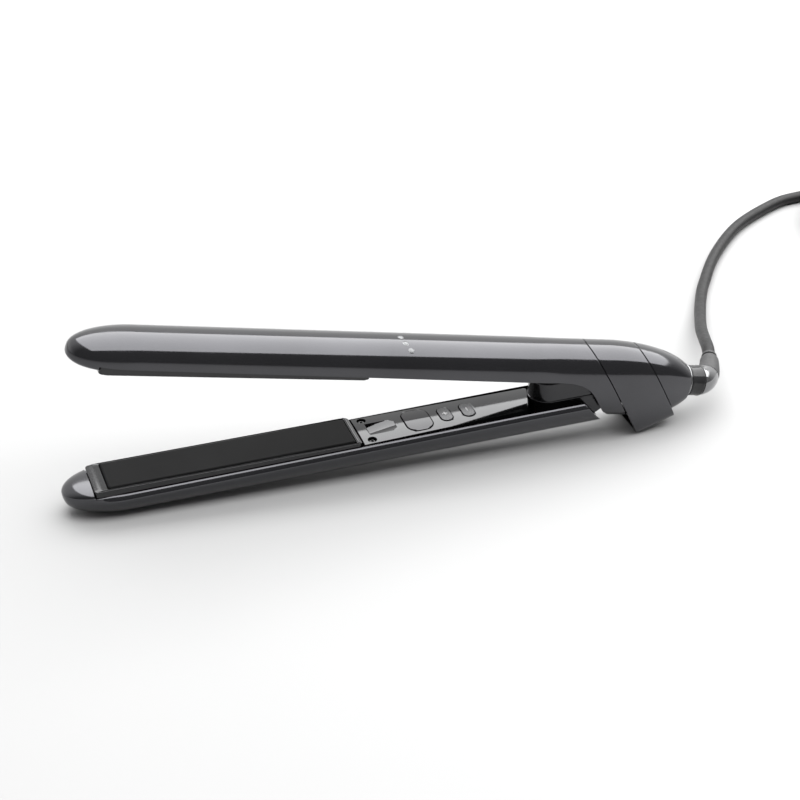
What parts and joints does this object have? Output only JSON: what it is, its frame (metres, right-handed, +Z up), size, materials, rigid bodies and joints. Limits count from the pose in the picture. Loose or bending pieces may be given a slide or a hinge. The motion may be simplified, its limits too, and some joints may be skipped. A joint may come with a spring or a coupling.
{
  "type": "hair straightener",
  "caption": "Slim hair straightener lying open: two sprung arms with floating heated plates, a button panel, a swivelling lead, a coiled lead and its plug.",
  "frame": {"origin": "under the middle of the straightener without its lead, on the surface it lies on", "axes": "+X from the tips to the hinge, +Y across the arms, +Z up"},
  "size_m": [0.5701, 0.21, 0.0857],
  "materials": {
    "gunmetal": "gloss, metallic gunmetal lacquer",
    "inner_grey": "gloss, metallic grey lacquer",
    "dark_plastic": "satin",
    "gloss_black": "high gloss",
    "plate_coat": "satin ceramic coat",
    "steel": "bright",
    "heater_ceramic": "matt",
    "silicone": "matt",
    "circuit_board": "satin",
    "lamp_lens": "clear gloss",
    "lead_skin": "fine satin",
    "inner_wire": "satin"
  },
  "bodies": {
    "upper_arm": {"upper_shell": "gunmetal", "tail_cap": "gunmetal", "hinge_collar": "gunmetal", "mains_lead": "lead_skin", "upper_plate_carrier": "inner_grey", "hinge_yoke": "steel", "hinge_spring": "steel", "swivel_collar": "gloss_black", "tail_trim_ring": "steel", "plug_lead": "lead_skin", "lead_coil": "lead_skin", "plug_body": "lead_skin", "upper_leads": "inner_wire", "upper_inner_cover": "inner_grey", "plug_sleeve": "lead_skin", "hinge_pin": "steel", "plug_pin_left": "steel", "plug_pin_right": "steel", "indicator_light_1": "lamp_lens", "indicator_light_2": "lamp_lens", "indicator_light_3": "lamp_lens", "coil_tie": "dark_plastic", "upper_float_pad_tip": "silicone", "upper_float_pad_hinge": "silicone", "indicator_board": "circuit_board"},
    "upper_plate": {"upper_heating_plate": "plate_coat", "upper_ceramic_heater": "heater_ceramic", "upper_heater_clamp": "steel", "upper_temperature_sensor": "heater_ceramic"},
    "lower_plate": {"lower_heating_plate": "plate_coat", "lower_ceramic_heater": "heater_ceramic", "lower_heater_clamp": "steel", "lower_temperature_sensor": "heater_ceramic"},
    "lower_arm": {"lower_shell": "gunmetal", "lower_plate_carrier": "inner_grey", "lower_float_pad_tip": "silicone", "lower_float_pad_hinge": "silicone", "button_panel": "inner_grey", "power_switch": "dark_plastic", "plus_switch": "dark_plastic", "minus_switch": "dark_plastic", "control_board": "circuit_board", "panel_screw_1": "steel", "panel_screw_2": "steel", "hinge_knuckle": "inner_grey", "thermal_fuse": "steel", "lower_leads": "inner_wire"},
    "power_button": {"power_button": "inner_grey"},
    "plus_button": {"plus_button": "inner_grey"},
    "minus_button": {"minus_button": "inner_grey"},
    "cord_swivel": {"swivel_elbow": "gloss_black"}
  },
  "joints": [
    {"name": "arm_hinge", "type": "hinge", "parent": "upper_arm", "child": "lower_arm", "pos_m": [0.1179, 0, 0.02491], "axis": [0, 1, 0], "range_deg": [0, 12.45], "stiffness_Nm_per_rad": 2, "springref_deg": -17.19, "deforming": ["hinge_spring"]},
    {"name": "upper_plate_float", "type": "slide", "parent": "upper_arm", "child": "upper_plate", "axis": [0.1805, 0, 0.9836], "range_m": [0, 0.001], "stiffness_N_per_m": 4000, "springref_m": -0.0008, "deforming": ["upper_float_pad_tip", "upper_float_pad_hinge"]},
    {"name": "lower_plate_float", "type": "slide", "parent": "lower_arm", "child": "lower_plate", "axis": [0.0358, 0, -0.9994], "range_m": [0, 0.001], "stiffness_N_per_m": 4000, "springref_m": -0.0008, "deforming": ["lower_float_pad_tip", "lower_float_pad_hinge"]},
    {"name": "power_button_press", "type": "slide", "parent": "lower_arm", "child": "power_button", "axis": [0.0358, 0, -0.9994], "range_m": [0, 0.0006], "stiffness_N_per_m": 1500, "springref_m": -0.0003},
    {"name": "plus_button_press", "type": "slide", "parent": "lower_arm", "child": "plus_button", "axis": [0.0358, 0, -0.9994], "range_m": [0, 0.0006], "stiffness_N_per_m": 1500, "springref_m": -0.0003},
    {"name": "minus_button_press", "type": "slide", "parent": "lower_arm", "child": "minus_button", "axis": [0.0358, 0, -0.9994], "range_m": [0, 0.0006], "stiffness_N_per_m": 1500, "springref_m": -0.0003},
    {"name": "cord_swivel_turn", "type": "hinge", "parent": "upper_arm", "child": "cord_swivel", "pos_m": [0.1404, 0, 0.01885], "axis": [0.9836, 0, -0.1805], "continuous": true}
  ]
}
